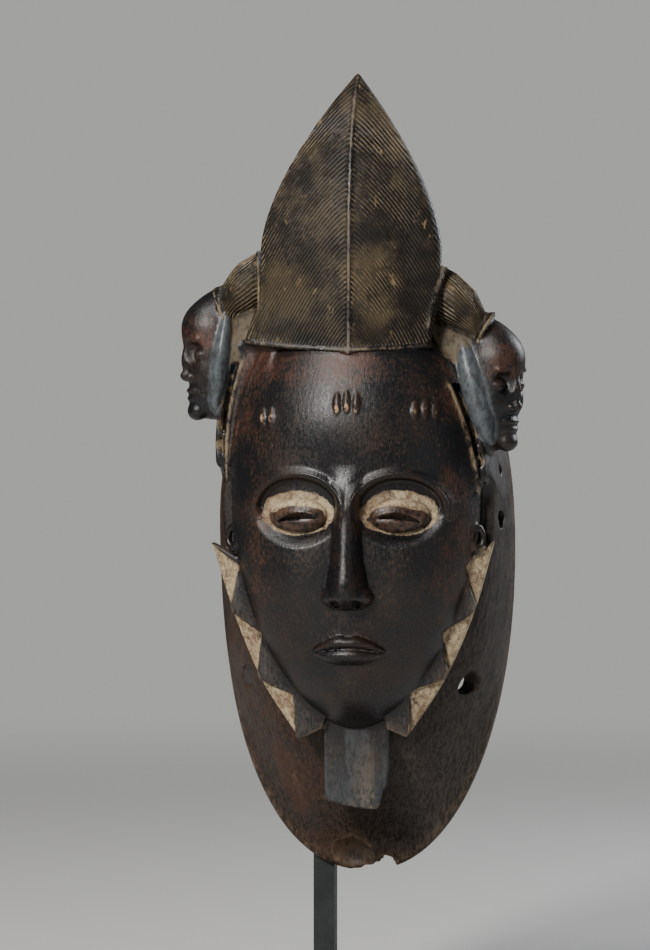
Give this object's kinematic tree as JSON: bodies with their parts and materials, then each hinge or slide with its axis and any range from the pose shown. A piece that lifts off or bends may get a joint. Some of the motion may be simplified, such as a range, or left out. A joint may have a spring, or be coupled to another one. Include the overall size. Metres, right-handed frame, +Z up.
{
  "type": "baule mask",
  "caption": "Carved wooden face mask with a tall pointed coiffure, small heads at its sides, a toothed collar and a flat beard, on a steel display mount.",
  "frame": {"origin": "centre of the base plate's underside", "axes": "+Z up towards the tip of the coiffure, the face looks along -Y, +X to the viewer's right"},
  "size_m": [0.1922, 0.1424, 0.53],
  "materials": {
    "wood": "satin",
    "blackened_steel": "satin"
  },
  "bodies": {
    "root": {"mask": "wood", "mount_bar": "blackened_steel", "base_plate": "blackened_steel"}
  },
  "joints": []
}
